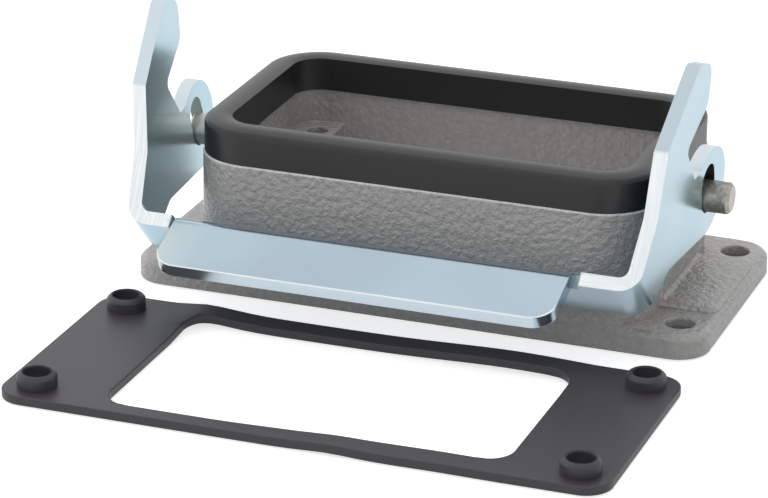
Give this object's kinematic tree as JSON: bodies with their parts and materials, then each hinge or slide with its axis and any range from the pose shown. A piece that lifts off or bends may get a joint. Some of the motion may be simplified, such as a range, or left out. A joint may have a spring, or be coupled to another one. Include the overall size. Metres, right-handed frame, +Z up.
{
  "type": "heavy duty rectangular connector",
  "caption": "Open bulkhead housing of a heavy duty rectangular connector, with rim seal, swinging locking lever and loose flange gasket.",
  "frame": {"origin": "centre of the flange's underside, midway between its four screw holes", "axes": "+X to the right along the housing's length, +Y to its back, +Z up out of the open rim"},
  "size_m": [0.0941, 0.0944, 0.0431],
  "materials": {
    "painted_casting": "grey hammertone paint on a die casting",
    "black_rubber": "matte moulded",
    "turned_steel": "turned",
    "zinc_plated_steel": "bright blue-white zinc plating",
    "gasket_rubber": "matte moulded"
  },
  "bodies": {
    "base": {"housing": "painted_casting", "rim_seal": "black_rubber", "pivot_pin_left": "turned_steel", "pivot_pin_right": "turned_steel", "flange_gasket": "gasket_rubber"},
    "lever": {"locking_lever": "zinc_plated_steel"}
  },
  "joints": [
    {"name": "lever_swing", "type": "hinge", "parent": "base", "child": "lever", "pos_m": [0, 0, 0.0186], "axis": [-1, 0, 0], "range_deg": [0, 138]}
  ]
}
